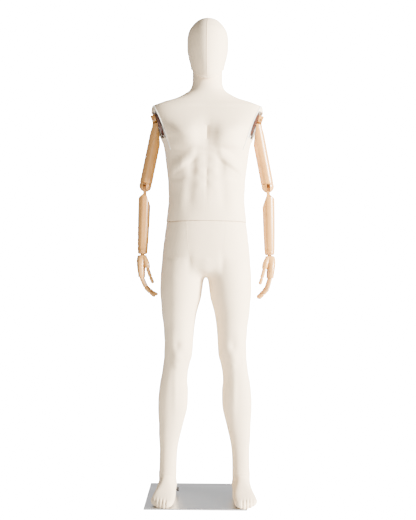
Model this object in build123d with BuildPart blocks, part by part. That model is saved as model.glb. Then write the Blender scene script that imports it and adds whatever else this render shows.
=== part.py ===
from build123d import *
import math
import os

os.makedirs("parts", exist_ok=True)

# ---- driving dimensions, millimetres -------------------------------------
# X runs across the body, the figure faces -Y, +Z is up, z = 0 is the floor.
PLATE_WIDTH = 380.0
PLATE_DEPTH = 400.0
PLATE_THICKNESS = 5.0
PLATE_CENTRE_X = -31.0
BODY_Y = -12.0
COVER = 5.0
SHELL = 4.0
GAP = 0.3
WAIST_Z = 1062.0
HIP_PLATE = 12.0
SPIGOT_RADIUS = 6.0
SPIGOT_TOP = 96.0
SPIGOT_FLANGE = 14.0
HEEL_X = -141.5
HEEL_Y = 14.0
LOCK_X = -112.0
LOCK_Z = 25.0
WAIST_POST = 17.0
WAIST_BORE = 17.08
NECK_POST = 12.0
NECK_BORE = 12.08

# torso rows: height, half width, depth in front, depth behind, squareness
TORSO = [
    (1063, 154, 97, 97, 2.3),
    (1109, 150, 96, 91, 2.3),
    (1140, 146.5, 96, 87, 2.3),
    (1186, 148, 99, 88, 2.3),
    (1232, 150.5, 105, 94, 2.4),
    (1278, 156, 110, 102, 2.4),
    (1324, 162, 117, 109, 2.5),
    (1355, 168, 121, 113, 2.6),
    (1376, 176, 121, 115, 2.7),
    (1400, 196, 117, 116, 2.8),
    (1440, 213, 105, 113, 2.9),
    (1470, 219, 90, 104, 3.0),
    (1495, 217, 76, 92, 3.0),
    (1508, 209, 70, 84, 2.9),
    (1524, 174, 64, 76, 2.6),
    (1539, 123, 61, 70, 2.4),
    (1555, 91, 59, 65, 2.2),
    (1572, 69, 58, 60, 2.1),
    (1592, 58.5, 58.5, 57, 2.0),
]
NECK_RADIUS = 57.5
NECK_Y = -14.0
NECK_TOP = 1688.0
NECK_SEAM_TILT = 27.0
NECK_SEAM_Z = 1560.0

# head rows: tilt, centre y, centre z, half width, half depth
HEAD = [
    (31, -16, 1636, 63.5, 80),
    (24, -20, 1659, 67.5, 88),
    (15, -22, 1692, 75, 95.5),
    (8, -22, 1725, 80, 101),
    (3, -20, 1760, 80, 103),
    (0, -17, 1790, 74.5, 97),
    (0, -15, 1815, 61.5, 82),
    (0, -13, 1834, 44, 58),
    (0, -12, 1845, 23, 31),
    (0, -12, 1849, 7, 9),
]
HEAD_BORE = NECK_RADIUS + 0.8
HEAD_LIFT_FLOOR = NECK_TOP + 0.2

# pelvis rows, same order as the torso rows
PELVIS = [
    (WAIST_Z, 154.5, 97, 97, 2.3),
    (1032, 158.5, 98, 104, 2.3),
    (1001, 162.5, 99, 113, 2.35),
    (971, 166.5, 101, 119, 2.4),
    (925, 171, 103, 122, 2.5),
    (878, 174, 100, 119, 2.6),
    (853, 175, 96, 113, 2.7),
]
# leg rows: height, outer edge, inner edge, depth in front, depth behind
LEG = [
    (893, 174, 3, 98, 117),
    (848, 175.5, 5, 97, 111),
    (802, 177, 11.5, 93, 101),
    (740, 172, 25, 86, 90),
    (663, 163, 40, 77, 74),
    (602, 158.5, 46, 70, 60),
    (540, 160, 52, 66, 55),
    (510, 163.5, 59.5, 60, 56),
    (464, 169.5, 65, 54, 64),
    (402, 179, 64, 50, 70),
    (356, 181, 67, 47, 69),
    (295, 178.5, 79, 42, 60),
    (233, 177.5, 94, 37, 50),
    (172, 174.5, 105, 35, 44),
    (110, 174.5, 106.5, 37, 42),
    (60, 174, 108, 40, 44),
]
# foot rows: y, centre x, half width, height
FOOT = [
    (50, 141, 12, 26),
    (42, 141, 27, 52),
    (22, 141, 34, 84),
    (-8, 142, 35.5, 90),
    (-45, 143, 36, 86),
    (-88, 146, 39, 62),
    (-130, 150, 42.5, 42),
    (-165, 153.5, 43, 31),
    (-190, 155.5, 37, 25),
    (-202, 156.5, 24, 17),
]
ANKLE_Z = 97.0
SOLE_Z = PLATE_THICKNESS

# armholes and shoulders
ARMHOLE_TOP = (212.0, 1483.0)
ARMHOLE_LOW = (174.0, 1376.0)
ARMHOLE_TILT = 19.55
OPENING_HIGH = 53.0
OPENING_DEEP = 49.0
PLATE_RECESS = 8.0
ARMHOLE_PLATE = 8.0
KNOB_UP = 33.0
KNOB_RADIUS = 17.5
KNOB_DEEP = 19.5
HINGE_OUT = 11.0
HINGE_UP = -2.0
SHOULDER_TONGUE = 8.0
SHOULDER_CLEAR = 18.6
ARM_Y = -8.0

# arms
ELBOW_X = 238.0
ELBOW_Z = 1195.0
UPPER_LEAN = 11.2
UPPER_RADIUS = 24.3
UPPER_LOW = 18.3
BALL_RADIUS = 24.2
BALL_CENTRE = 8.0
BALL_TOP = 18.0
TONGUE = 6.0
PIN = 3.0
PIN_BORE = 3.06
WRIST_X = 245.5
WRIST_Z = 946.0
FORE_LEAN = 1.725
WRIST_RADIUS = 19.5
WRIST_TOP = 10.5
WRIST_LOW = -8.0
WRIST_TONGUE = 5.0

# hands, in the palm frame: x away from the body, z up, origin on the wrist pin
PALM_LOW = -98.0
KNUCKLE_Z = -101.0
KNUCKLE_DROP = 3.0
JOINT_DROP = 5.5
LUG = 2.5
LUG_RADIUS = 3.5
SLOT = 2.8
SLOT_RADIUS = 5.0
POCKET = 0.4
FINGER_PIN = 1.5
FINGER_BORE = 1.54
FINGER_RADII = (7.6, 7.1, 6.6)
FINGERS = [
    ("index", 28.5, (42, 27, 21)),
    ("middle", 9.5, (43, 28, 21)),
    ("ring", -9.5, (41, 27, 20)),
    ("little", -28.5, (34, 22, 18)),
]
CURL = {
    "left": ((14, 42, 46), (17, 45, 50), (20, 44, 50), (18, 40, 44)),
    "right": ((24, 46, 52), (29, 55, 62), (27, 50, 58), (24, 46, 52)),
}
THUMB_X = -22.5
THUMB_Y = 24.0
THUMB_Z = -66.0
THENAR_LOW = -62.0
THUMB_LENGTHS = (36, 23)
THUMB_RADII = (7.5, 7.2)
THUMB_LEAN = {"left": (15, 17), "right": (20, 23)}
PALM = [
    (-12.4, 1.0, 18.3, 20.0, 2.3),
    (-30, 4.5, 18.3, 31.0, 2.5),
    (-60, 5.0, 16.0, 38.0, 2.7),
    (-84, 3.0, 14.0, 39.5, 2.9),
    (PALM_LOW, 2.5, 12.8, 39.0, 3.0),
]
THENAR = [
    (-13, -7.0, 12.0, 8.0, 9.0),
    (-36, -15.0, 20.0, 12.0, 14.5),
    (-52, -19.0, 23.0, 12.0, 14.5),
    (THENAR_LOW, -20.5, 24.0, 10.5, 13.0),
]


# ---- helpers --------------------------------------------------------------
def loop_points(half_width, front, back, power, count=16):
    points = []
    for k in range(count):
        angle = 2 * math.pi * k / count
        c = math.cos(angle)
        s = math.sin(angle)
        deep = back if s > 0 else front
        x = half_width * math.copysign(abs(c) ** (2 / power), c)
        y = deep * math.copysign(abs(s) ** (2 / power), s)
        points.append((x, y))
    return points


def ring(plane, half_width, front, back, power=2.0, count=16):
    with BuildSketch(plane) as sketch:
        with BuildLine():
            Spline(*loop_points(half_width, front, back, power, count), periodic=True)
        make_face()
    return sketch.sketch


def body_plane(z, x=0.0, y=BODY_Y):
    return Plane(origin=(x, y, z))


def torso_rings(inset):
    rings = []
    for z, half_width, front, back, power in TORSO:
        rings.append(ring(body_plane(z), half_width - inset, front - inset, back - inset, power))
    return rings


def pelvis_rings(inset):
    rings = []
    for z, half_width, front, back, power in PELVIS:
        height = z + inset if z == PELVIS[-1][0] else z
        rings.append(ring(body_plane(height), half_width - inset, front - inset, back - inset, power))
    return rings


def leg_rings(side, inset):
    rings = []
    for z, outer, inner, front, back in LEG:
        half_width = (outer - inner) / 2 - inset
        plane = body_plane(z, side * (outer + inner) / 2)
        rings.append(ring(plane, half_width, front - inset, back - inset, 2.15, 12))
    return rings


def foot_rings(side, inset):
    rings = []
    for y, x, half_width, height in FOOT:
        half = height / 2 - inset * 0.9
        if y == FOOT[0][0]:
            y = y - inset
        if y == FOOT[-1][0]:
            y = y + inset
        origin = (side * x, y, SOLE_Z + height / 2)
        plane = Plane(origin=origin, x_dir=(1, 0, 0), z_dir=(0, -1, 0))
        rings.append(ring(plane, half_width - inset * 0.9, half, half, 2.5, 12))
    return rings


def head_rings(inset):
    rings = []
    for tilt, y, z, half_width, half_depth in HEAD:
        lower = inset if z > 1840 else 0.0
        lean = math.radians(tilt)
        plane = Plane(
            origin=(0, y, z - lower),
            x_dir=(1, 0, 0),
            z_dir=(0, -math.sin(lean), math.cos(lean)),
        )
        if z > 1840:
            width = half_width * (1 - inset / 80)
            depth = half_depth * (1 - inset / 80)
        else:
            width = half_width - inset
            depth = half_depth - inset
        rings.append(ring(plane, width, depth, depth, 2.1))
    return rings


def flat_profile(points, plane):
    with BuildSketch(plane) as sketch:
        with BuildLine():
            Polyline(*points, close=True)
        make_face()
    return sketch.sketch


def tilted(side, x, z, lean, y=ARM_Y):
    """A plane whose z runs up a leaning member and x points away from the body."""
    angle = math.radians(lean)
    return Plane(
        origin=(side * x, y, z),
        x_dir=(side * math.cos(angle), 0, math.sin(angle)),
        z_dir=(-side * math.sin(angle), 0, math.cos(angle)),
    )


def side_view(frame, x=0.0, y=0.0, z=0.0):
    """Sketch plane across the member: drawing x = outward, drawing y = up."""
    origin = frame.from_local_coords((x, y, z))
    return Plane(origin=origin, x_dir=frame.x_dir, z_dir=-frame.y_dir)


def end_view(frame, x=0.0, y=0.0, z=0.0):
    """Sketch plane facing outward: drawing x = member y, drawing y = up."""
    origin = frame.from_local_coords((x, y, z))
    return Plane(origin=origin, x_dir=frame.y_dir, z_dir=frame.x_dir)


def level(frame, x=0.0, y=0.0, z=0.0):
    origin = frame.from_local_coords((x, y, z))
    return Plane(origin=origin, x_dir=frame.x_dir, z_dir=frame.z_dir)


def save(builder, name):
    builder.part.label = name
    export_step(builder.part, f"parts/{name}.step")


# ---- base: plate, spigot, locking knob ------------------------------------
with BuildPart() as base_plate:
    with BuildSketch(Plane(origin=(PLATE_CENTRE_X, 0, 0))):
        RectangleRounded(PLATE_WIDTH, PLATE_DEPTH, 6)
    extrude(amount=PLATE_THICKNESS)
    chamfer(base_plate.faces().sort_by(Axis.Z)[-1].edges(), 0.8)
save(base_plate, "base_plate")

with BuildPart() as base_spigot:
    with BuildSketch(Plane(origin=(HEEL_X, HEEL_Y, PLATE_THICKNESS))):
        Circle(SPIGOT_FLANGE)
    extrude(amount=3)
    with BuildSketch(Plane(origin=(HEEL_X, HEEL_Y, PLATE_THICKNESS))):
        Circle(SPIGOT_RADIUS)
    extrude(amount=SPIGOT_TOP - PLATE_THICKNESS)
    chamfer(base_spigot.faces().sort_by(Axis.Z)[-1].edges(), 1)
save(base_spigot, "base_spigot")

screw_end = HEEL_X + SPIGOT_RADIUS + 0.1


def lock_plane(x):
    return Plane(origin=(x, HEEL_Y, LOCK_Z), x_dir=(0, 1, 0), z_dir=(1, 0, 0))


with BuildPart() as lock_knob:
    with BuildSketch(lock_plane(LOCK_X + 5)):
        Circle(8)
    extrude(amount=8)
    with BuildSketch(lock_plane(screw_end)):
        Circle(2.5)
    extrude(amount=LOCK_X + 5.5 - screw_end)
save(lock_knob, "lock_knob")

# ---- lower body ------------------------------------------------------------
def lower_body(inset):
    with BuildPart() as whole:
        loft(sections=pelvis_rings(inset))
        for side in (-1, 1):
            loft(sections=leg_rings(side, inset))
            loft(sections=foot_rings(side, inset))
    return whole.part


outer_body = lower_body(0.0)
inner_body = lower_body(COVER)
shell_body = lower_body(COVER + GAP)
hollow_body = lower_body(COVER + GAP + SHELL)

with BuildPart() as lower_cover:
    add(outer_body)
    add(inner_body, mode=Mode.SUBTRACT)
    with BuildSketch(Plane(origin=(HEEL_X, HEEL_Y, 0))):
        Circle(SPIGOT_FLANGE + 1)
    extrude(amount=20, mode=Mode.SUBTRACT)
    with BuildSketch(lock_plane(HEEL_X)):
        Circle(3)
    extrude(amount=60, mode=Mode.SUBTRACT)

with BuildPart() as leg_cavity:
    add(hollow_body)
    with BuildSketch(Plane(origin=(0, 0, 0))):
        Rectangle(600, 700)
    extrude(amount=ANKLE_Z + 20, mode=Mode.SUBTRACT)

with BuildPart() as lower_shell:
    add(shell_body)
    add(leg_cavity.part, mode=Mode.SUBTRACT)
    with BuildSketch(Plane(origin=(0, BODY_Y, WAIST_Z - HIP_PLATE - 0.2))):
        Rectangle(600, 400)
    extrude(amount=40, mode=Mode.SUBTRACT)
    with BuildSketch(Plane(origin=(HEEL_X, HEEL_Y, 0))):
        Circle(SPIGOT_RADIUS + 0.1)
    extrude(amount=SPIGOT_TOP + 4, mode=Mode.SUBTRACT)
    with BuildSketch(Plane(origin=(HEEL_X, HEEL_Y, 0))):
        Circle(SPIGOT_FLANGE + 1)
    extrude(amount=9, mode=Mode.SUBTRACT)
    with BuildSketch(lock_plane(HEEL_X)):
        Circle(2.55)
    extrude(amount=60, mode=Mode.SUBTRACT)
save(lower_shell, "lower_shell")

with BuildPart() as hip_plate:
    add(inner_body)
    with BuildSketch(Plane(origin=(0, BODY_Y, 0))):
        Rectangle(600, 700)
    extrude(amount=WAIST_Z - HIP_PLATE, mode=Mode.SUBTRACT)
    with BuildSketch(Plane(origin=(0, BODY_Y, WAIST_Z - 1))):
        Circle(WAIST_POST)
    extrude(amount=95)
    chamfer(hip_plate.faces().sort_by(Axis.Z)[-1].edges(), 2)
save(hip_plate, "hip_plate")

GUSSET = [
    (-75, 1070), (-68, 970), (-59, 933), (-42, 888), (-25, 861), (-9, 846),
    (9, 846), (25, 861), (42, 888), (59, 933), (68, 970), (75, 1070),
]
front_half = Plane(origin=(0, BODY_Y, 0), x_dir=(1, 0, 0), z_dir=(0, -1, 0))

with BuildPart() as gusset_cover:
    add(lower_cover.part)
    flat = flat_profile(GUSSET, front_half)
    extrude(flat, amount=220, mode=Mode.INTERSECT)
save(gusset_cover, "gusset_cover")

for side, hand in ((-1, "right"), (1, "left")):
    with BuildPart() as leg_cover:
        add(lower_cover.part)
        flat = flat_profile(GUSSET, front_half)
        extrude(flat, amount=220, mode=Mode.SUBTRACT)
        with BuildSketch(Plane(origin=(side * 150, 0, ANKLE_Z))):
            Rectangle(300, 600)
        extrude(amount=1100, mode=Mode.INTERSECT)
    save(leg_cover, f"{hand}_leg_cover")

    with BuildPart() as foot_cover:
        add(lower_cover.part)
        with BuildSketch(Plane(origin=(side * 150, 0, 0))):
            Rectangle(300, 600)
        extrude(amount=ANKLE_Z, mode=Mode.INTERSECT)
    save(foot_cover, f"{hand}_foot_cover")

# ---- torso -----------------------------------------------------------------
ARMHOLE_MID_X = (ARMHOLE_TOP[0] + ARMHOLE_LOW[0]) / 2
ARMHOLE_MID_Z = (ARMHOLE_TOP[1] + ARMHOLE_LOW[1]) / 2
armhole_angle = math.radians(ARMHOLE_TILT)


def armhole(side, out=0.0, up=0.0):
    """Plane of the armhole: z points outward and down, y runs up the opening."""
    normal = (side * math.cos(armhole_angle), 0, -math.sin(armhole_angle))
    climb = (side * math.sin(armhole_angle), 0, math.cos(armhole_angle))
    origin = (
        side * ARMHOLE_MID_X + normal[0] * out + climb[0] * up,
        ARM_Y,
        ARMHOLE_MID_Z + normal[2] * out + climb[2] * up,
    )
    return Plane(origin=origin, x_dir=(0, side, 0), z_dir=normal)


def side_cut(side):
    """Outline of what the leaning armhole face takes off the shoulder."""
    points = [
        (side * ARMHOLE_TOP[0], ARMHOLE_TOP[1]),
        (side * ARMHOLE_LOW[0], ARMHOLE_LOW[1]),
        (side * 300, ARMHOLE_LOW[1]),
        (side * 300, ARMHOLE_TOP[1]),
    ]
    return flat_profile(points, Plane(origin=(0, 250, 0), x_dir=(1, 0, 0), z_dir=(0, -1, 0)))


def torso_body(inset, top):
    with BuildPart() as whole:
        loft(sections=torso_rings(inset))
        with BuildSketch(Plane(origin=(0, NECK_Y, TORSO[-1][0] - 12))):
            Circle(NECK_RADIUS - inset)
        extrude(amount=top - TORSO[-1][0] + 12)
    return whole.part


with BuildPart() as torso_outer:
    add(torso_body(0.0, NECK_TOP - 4))
    add(torso_body(COVER, NECK_TOP + 20), mode=Mode.SUBTRACT)
    for side in (-1, 1):
        extrude(side_cut(side), amount=500, mode=Mode.SUBTRACT)
        with BuildSketch(armhole(side, 2, 1)):
            Ellipse(OPENING_DEEP, OPENING_HIGH)
        extrude(amount=-PLATE_RECESS - ARMHOLE_PLATE - 4, mode=Mode.SUBTRACT)

seam_angle = math.radians(NECK_SEAM_TILT)
seam_plane = Plane(
    origin=(0, BODY_Y, NECK_SEAM_Z),
    x_dir=(1, 0, 0),
    z_dir=(0, -math.sin(seam_angle), math.cos(seam_angle)),
)

with BuildPart() as torso_cover:
    add(torso_outer.part)
    with BuildSketch(seam_plane):
        Rectangle(600, 600)
    extrude(amount=400, mode=Mode.SUBTRACT)
save(torso_cover, "torso_cover")

with BuildPart() as neck_cover:
    add(torso_outer.part)
    with BuildSketch(seam_plane):
        Rectangle(180, 300)
    extrude(amount=400, mode=Mode.INTERSECT)
save(neck_cover, "neck_cover")

WAIST_PLATE_TOP = TORSO[0][0] + HIP_PLATE
with BuildPart() as torso_shell:
    add(torso_body(COVER + GAP, NECK_TOP - 4))
    add(torso_body(COVER + GAP + SHELL, NECK_TOP - 14), mode=Mode.SUBTRACT)
    with BuildSketch(Plane(origin=(0, 0, 1000))):
        Rectangle(600, 600)
    extrude(amount=WAIST_PLATE_TOP + 0.2 - 1000, mode=Mode.SUBTRACT)
    for side in (-1, 1):
        extrude(side_cut(side), amount=500, mode=Mode.SUBTRACT)
        with BuildSketch(armhole(side, 2, 1)):
            Ellipse(OPENING_DEEP + 0.3, OPENING_HIGH + 0.3)
        extrude(amount=-PLATE_RECESS - ARMHOLE_PLATE - 2, mode=Mode.SUBTRACT)
    with BuildSketch(Plane(origin=(0, NECK_Y, NECK_TOP - 40))):
        Circle(NECK_BORE)
    extrude(amount=60, mode=Mode.SUBTRACT)
save(torso_shell, "torso_shell")

with BuildPart() as waist_plate:
    add(torso_body(COVER + GAP, NECK_TOP))
    with BuildSketch(Plane(origin=(0, 0, WAIST_PLATE_TOP))):
        Rectangle(700, 700)
    extrude(amount=800, mode=Mode.SUBTRACT)
    with BuildSketch(Plane(origin=(0, BODY_Y, WAIST_PLATE_TOP - 1))):
        Circle(24)
    extrude(amount=55)
    with BuildSketch(Plane(origin=(0, BODY_Y, TORSO[0][0] - 5))):
        Circle(WAIST_BORE)
    extrude(amount=90, mode=Mode.SUBTRACT)
save(waist_plate, "waist_plate")

for side, hand in ((-1, "right"), (1, "left")):
    with BuildPart() as armhole_plate:
        with BuildSketch(armhole(side, -PLATE_RECESS, 1)):
            Ellipse(OPENING_DEEP - 0.3, OPENING_HIGH - 0.3)
        extrude(amount=-ARMHOLE_PLATE)
        with BuildSketch(armhole(side, -PLATE_RECESS, KNOB_UP)):
            Circle(5.06)
        extrude(amount=-ARMHOLE_PLATE, mode=Mode.SUBTRACT)
    save(armhole_plate, f"{hand}_armhole_plate")

# ---- head ------------------------------------------------------------------
with BuildPart() as head_spigot:
    with BuildSketch(Plane(origin=(0, NECK_Y, NECK_TOP - 14))):
        Circle(NECK_POST)
    extrude(amount=60)
    with BuildSketch(Plane(origin=(0, NECK_Y, NECK_TOP - 4))):
        Circle(30)
    extrude(amount=4)
    chamfer(head_spigot.faces().sort_by(Axis.Z)[-1].edges(), 1.5)
save(head_spigot, "head_spigot")

with BuildPart() as head_cover:
    loft(sections=head_rings(0.0))
    loft(sections=head_rings(COVER), mode=Mode.SUBTRACT)
    with BuildSketch(Plane(origin=(0, NECK_Y, 1500))):
        Circle(HEAD_BORE)
    extrude(amount=HEAD_LIFT_FLOOR - 1500, mode=Mode.SUBTRACT)
save(head_cover, "head_cover")

with BuildPart() as head_hollow:
    loft(sections=head_rings(COVER + GAP + SHELL))
    with BuildSketch(Plane(origin=(0, 0, 1500))):
        Rectangle(400, 400)
    extrude(amount=HEAD_LIFT_FLOOR + 10 - 1500, mode=Mode.SUBTRACT)

edge_angle = math.radians(HEAD[1][0])
head_edge = Plane(
    origin=(0, HEAD[1][1], HEAD[1][2] + 8),
    x_dir=(1, 0, 0),
    z_dir=(0, -math.sin(edge_angle), math.cos(edge_angle)),
)

with BuildPart() as head_shell:
    loft(sections=head_rings(COVER + GAP))
    add(head_hollow.part, mode=Mode.SUBTRACT)
    with BuildSketch(head_edge):
        Rectangle(400, 400)
    extrude(amount=-200, mode=Mode.SUBTRACT)
    with BuildSketch(Plane(origin=(0, NECK_Y, 1500))):
        Circle(HEAD_BORE)
    extrude(amount=HEAD_LIFT_FLOOR - 1500, mode=Mode.SUBTRACT)
    with BuildSketch(Plane(origin=(0, NECK_Y, HEAD_LIFT_FLOOR + 9))):
        Circle(18)
    extrude(amount=25)
    with BuildSketch(Plane(origin=(0, NECK_Y, 1600))):
        Circle(NECK_BORE)
    extrude(amount=HEAD_LIFT_FLOOR + 60 - 1600, mode=Mode.SUBTRACT)
save(head_shell, "head_shell")

# ---- arms ------------------------------------------------------------------
def shoulder_pin(side):
    return armhole(side, -PLATE_RECESS + HINGE_OUT, KNOB_UP + HINGE_UP).origin


def local_point(frame, world):
    point = frame.to_local_coords(Vector(*world))
    return point.X, point.Z


def knob_part(side):
    seat = armhole(side, -PLATE_RECESS, KNOB_UP)
    pin = shoulder_pin(side)
    across = Plane(origin=pin, x_dir=(side, 0, 0), z_dir=(0, -side, 0))
    with BuildPart() as knob:
        with BuildSketch(seat.offset(GAP)):
            Circle(KNOB_RADIUS)
        extrude(amount=KNOB_DEEP - GAP)
        fillet(knob.edges(), 2.5)
        with BuildSketch(across):
            Circle(SHOULDER_TONGUE + 0.4)
        extrude(amount=TONGUE + GAP, both=True, mode=Mode.SUBTRACT)
        with BuildSketch(Plane(origin=pin, x_dir=(0, side, 0), z_dir=seat.z_dir)):
            with Locations((0, -20)):
                Rectangle(2 * TONGUE + 2 * GAP, 40)
        extrude(amount=SHOULDER_TONGUE + 0.4, both=True, mode=Mode.SUBTRACT)
        with BuildSketch(Plane(origin=pin, x_dir=(0, side, 0), z_dir=seat.z_dir)):
            with Locations((0, -10)):
                Rectangle(2 * TONGUE + 2 * GAP, 20 + 2 * SHOULDER_TONGUE + 0.8)
        extrude(amount=30, mode=Mode.SUBTRACT)
        with BuildSketch(across):
            Circle(PIN_BORE)
        extrude(amount=40, both=True, mode=Mode.SUBTRACT)
        with BuildSketch(seat):
            Circle(5)
        extrude(amount=-ARMHOLE_PLATE + 0.5)
        with BuildSketch(seat):
            Circle(5)
        extrude(amount=GAP + 1)
    return knob


def upper_arm_part(side):
    frame = tilted(side, ELBOW_X, ELBOW_Z, UPPER_LEAN)
    pin_x, pin_z = local_point(frame, shoulder_pin(side))
    with BuildPart() as arm:
        with BuildSketch(level(frame, z=UPPER_LOW)):
            Circle(UPPER_RADIUS)
        extrude(amount=pin_z - 14 - UPPER_LOW)
        outline = flat_profile(
            [
                (-30, 0), (30, 0), (30, 185), (24.3, 200), (23.2, 212), (19.5, 243),
                (15, 252), (-0.6, 252), (-0.6, 246), (-21.3, 186), (-24.3, 172), (-30, 165),
            ],
            side_view(frame),
        )
        extrude(outline, amount=60, both=True, mode=Mode.INTERSECT)
        with BuildSketch(side_view(frame, pin_x, 0, pin_z)):
            Circle(SHOULDER_CLEAR)
        extrude(amount=60, both=True, mode=Mode.SUBTRACT)
        with BuildSketch(side_view(frame, pin_x, 0, pin_z)):
            Circle(SHOULDER_TONGUE)
            with Locations((-3, -13)):
                Rectangle(2 * SHOULDER_TONGUE - 6, 26)
        extrude(amount=TONGUE, both=True)
        with BuildSketch(side_view(frame, pin_x, 0, pin_z)):
            Circle(PIN)
        extrude(amount=14, both=True)
        with BuildSketch(level(frame, z=UPPER_LOW)):
            Circle(5.06)
        extrude(amount=22, mode=Mode.SUBTRACT)
    return arm


def elbow_part(side):
    upper = tilted(side, ELBOW_X, ELBOW_Z, UPPER_LEAN)
    fore = tilted(side, ELBOW_X, ELBOW_Z, FORE_LEAN)
    with BuildPart() as ball:
        with Locations(level(upper, z=BALL_CENTRE)):
            Sphere(BALL_RADIUS)
        with BuildSketch(level(upper, z=BALL_TOP)):
            Rectangle(80, 80)
        extrude(amount=40, mode=Mode.SUBTRACT)
        with BuildSketch(end_view(fore)):
            Circle(10.5)
            with Locations((0, -20)):
                Rectangle(80, 40)
            with Locations((-20 * side, -7.6)):
                Rectangle(40, 46)
        extrude(amount=TONGUE + GAP, both=True, mode=Mode.SUBTRACT)
        with BuildSketch(end_view(fore)):
            Circle(PIN_BORE)
        extrude(amount=40, both=True, mode=Mode.SUBTRACT)
        with BuildSketch(level(upper, z=BALL_TOP - 4)):
            Circle(5)
        extrude(amount=24)
    return ball


def forearm_part(side):
    frame = tilted(side, ELBOW_X, ELBOW_Z, FORE_LEAN)
    reach = math.hypot(WRIST_X - ELBOW_X, ELBOW_Z - WRIST_Z)
    low = -reach + WRIST_TOP + GAP
    rings = []
    for z, radius in ((14, 23.4), (-70, 23.8), (-150, 22.8), (low, 20.3)):
        rings.append(ring(level(frame, z=z), radius, radius, radius, 2.0, 12))
    with BuildPart() as arm:
        loft(sections=rings)
        outline = flat_profile(
            [
                (-TONGUE, 14), (TONGUE, 14), (TONGUE, -24.8), (24.5, -40), (24.5, -245),
                (-24.5, -245), (-24.5, -72), (-TONGUE, -24.8),
            ],
            side_view(frame),
        )
        extrude(outline, amount=60, both=True, mode=Mode.INTERSECT)
        with BuildSketch(end_view(frame)):
            Circle(10)
            with BuildLine():
                Polyline(
                    (-10, 0), (-12, -20), (-25, -37), (-25, -245),
                    (25, -245), (25, -37), (12, -20), (10, 0),
                    close=True,
                )
            make_face()
        extrude(amount=60, both=True, mode=Mode.INTERSECT)
        with BuildSketch(end_view(frame)):
            Circle(PIN)
        extrude(amount=20, both=True)
        with BuildSketch(level(frame, z=low)):
            Circle(4.05)
        extrude(amount=18, mode=Mode.SUBTRACT)
    return arm


def wrist_part(side):
    frame = tilted(side, WRIST_X, WRIST_Z, FORE_LEAN)
    with BuildPart() as disc:
        with BuildSketch(level(frame, z=WRIST_LOW)):
            Circle(WRIST_RADIUS)
        extrude(amount=WRIST_TOP - WRIST_LOW)
        fillet(disc.faces().sort_by(Axis.Z)[0].edges(), 6.5)
        fillet(disc.faces().sort_by(Axis.Z)[-1].edges(), 1.5)
        with BuildSketch(side_view(frame)):
            Circle(7.4)
            with Locations((0, -10)):
                Rectangle(50, 20)
        extrude(amount=WRIST_TONGUE + GAP, both=True, mode=Mode.SUBTRACT)
        with BuildSketch(side_view(frame)):
            Circle(2.55)
        extrude(amount=40, both=True, mode=Mode.SUBTRACT)
        with BuildSketch(level(frame, z=WRIST_TOP - 1)):
            Circle(4)
        extrude(amount=17)
    return disc


def add_lug(part, frame, drop, radius):
    """Pocket, lug and pin hole for the next joint below a member."""
    with BuildPart() as lug:
        with BuildSketch(side_view(frame)):
            Circle(LUG_RADIUS)
            with Locations((0, (drop + radius) / 2)):
                Rectangle(2 * LUG_RADIUS, drop + radius)
        extrude(amount=LUG, both=True)
    with BuildPart() as joined:
        add(part)
        with Locations(frame):
            Sphere(radius + POCKET, mode=Mode.SUBTRACT)
        add(lug.part)
        with BuildSketch(side_view(frame)):
            Circle(FINGER_BORE)
        extrude(amount=8, both=True, mode=Mode.SUBTRACT)
    return joined.part


def segment_part(frame, length, radius, next_radius=0.0):
    with BuildPart() as bone:
        end = length - JOINT_DROP if next_radius else length - radius
        with BuildSketch(level(frame)):
            Circle(radius)
        extrude(amount=-end)
        if next_radius:
            fillet(bone.faces().sort_by(Axis.Z)[0].edges(), 0.8)
        with Locations(frame):
            Sphere(radius)
        if not next_radius:
            with Locations(level(frame, z=-end)):
                Sphere(radius)
        with BuildSketch(side_view(frame)):
            Circle(SLOT_RADIUS)
            with Locations((0, 10)):
                Rectangle(30, 20)
        extrude(amount=SLOT, both=True, mode=Mode.SUBTRACT)
        with BuildSketch(side_view(frame)):
            Circle(FINGER_PIN)
        extrude(amount=radius - 1.4, both=True)
    if not next_radius:
        return bone.part
    # a straight lug: the next segment bends about its pin
    return add_lug(bone.part, level(frame, z=-length), JOINT_DROP, next_radius)


def below(frame, length):
    return frame.from_local_coords((0, 0, -length))


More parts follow.
